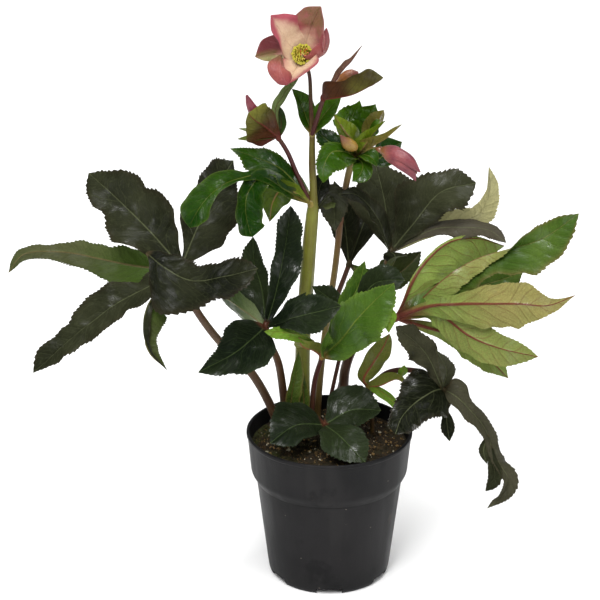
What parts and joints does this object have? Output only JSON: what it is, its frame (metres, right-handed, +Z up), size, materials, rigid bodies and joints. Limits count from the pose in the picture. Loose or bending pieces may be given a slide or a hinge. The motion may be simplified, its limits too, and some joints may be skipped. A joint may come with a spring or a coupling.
{
  "type": "potted hellebore plant",
  "caption": "Hellebore in a round black nursery pot: toothed palmate leaves on long petioles, flowering stems with leafy bracts, an open pink flower and its buds.",
  "frame": {"origin": "middle of the whole plant's spread, on the surface that the pot stands on", "axes": "+Z up, -Y towards the front that the open flower faces, +X to the right as seen from there"},
  "size_m": [0.4411, 0.2043, 0.4652],
  "materials": {
    "pot": "satin",
    "compost": "matte",
    "dark_leaf": "satin",
    "gloss_leaf": "satin",
    "young_leaf": "satin",
    "pale_leaf": "satin",
    "bract": "gloss",
    "brown_bract": "satin",
    "green_stem": "satin",
    "brown_stem": "satin",
    "petiole": "satin",
    "shoot": "satin",
    "sepal": "satin",
    "bud": "satin",
    "stamen": "matte"
  },
  "bodies": {
    "root": {"pot": "pot", "soil": "compost", "stem_main": "green_stem", "stem_second": "brown_stem", "leaf_left": "dark_leaf", "petiole_left": "petiole", "leaf_centre": "gloss_leaf", "petiole_centre": "petiole", "leaf_young_front": "young_leaf", "petiole_young_front": "petiole", "leaf_right": "pale_leaf", "petiole_right": "petiole", "leaf_back_right": "dark_leaf", "petiole_back_right": "petiole", "leaf_back": "dark_leaf", "petiole_back": "petiole", "leaf_hidden": "gloss_leaf", "petiole_hidden": "petiole", "leaf_low_right": "dark_leaf", "petiole_low_right": "petiole", "leaf_low_front": "gloss_leaf", "petiole_low_front": "petiole", "leaf_young_right": "young_leaf", "petiole_young_right": "petiole", "bract_leaf_left": "bract", "bract_leaf_hanging": "dark_leaf", "bracts_upper_node": "bract", "bracts_left_bud": "brown_bract", "bracts_right_bud": "brown_bract", "bracts_cluster": "bract", "bud_left": "bud", "bud_right": "bud", "bud_cluster": "bud", "shoot_left": "shoot", "shoot_right": "shoot", "flower_sepals": "sepal", "flower_stamens": "stamen", "flower_half_open": "bud"}
  },
  "joints": []
}
